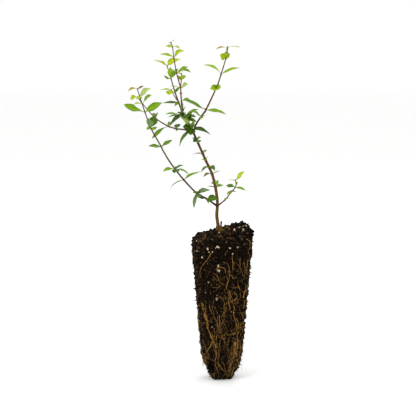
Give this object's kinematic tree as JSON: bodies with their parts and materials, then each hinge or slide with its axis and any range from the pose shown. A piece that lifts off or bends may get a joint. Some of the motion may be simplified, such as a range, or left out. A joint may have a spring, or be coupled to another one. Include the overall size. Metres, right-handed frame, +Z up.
{
  "type": "mock privet seedling on its root plug",
  "caption": "Slender young evergreen shrub with a leaning forked stem and small pointed leaves in pairs, standing on a bare tapered block of peat and roots.",
  "frame": {"origin": "middle of the root plug's flat underside", "axes": "+Z up the plant, +X to the right and +Y to the back as the picture shows it"},
  "size_m": [0.1263, 0.0632, 0.3399],
  "materials": {
    "peat": "rough dark peat with perlite grains and tan roots",
    "bark": "dull olive-brown bark",
    "young_bark": "smooth reddish to tan young bark",
    "dead_wood": "dry reddish-brown stub",
    "young_leaves": "bright yellow-green satin leaves",
    "old_leaves": "dark green satin leaves with pale undersides"
  },
  "bodies": {
    "root": {"root_plug": "peat", "trunk": "bark", "dead_stub": "dead_wood", "lower_left_bough": "young_bark", "lower_right_bough": "young_bark", "left_bough": "young_bark", "right_bough": "young_bark", "centre_bough": "young_bark", "lower_left_spray": "young_leaves", "left_spray": "young_leaves", "right_spray": "young_leaves", "centre_left_spray": "young_leaves", "centre_right_spray": "young_leaves", "lower_right_spray": "young_leaves", "lower_left_sprig_1": "old_leaves", "lower_left_sprig_2": "old_leaves", "lower_left_sprig_3": "old_leaves", "lower_left_sprig_4": "old_leaves", "lower_right_sprig": "old_leaves", "left_sprig": "old_leaves", "right_sprig": "old_leaves", "centre_sprig_1": "old_leaves", "centre_sprig_2": "old_leaves", "fork_sprig": "old_leaves", "trunk_sprig_1": "old_leaves", "trunk_sprig_2": "old_leaves", "trunk_sprig_3": "old_leaves", "trunk_sprig_4": "old_leaves", "trunk_sprig_5": "old_leaves", "trunk_sprig_6": "old_leaves", "trunk_sprig_7": "old_leaves"}
  },
  "joints": []
}
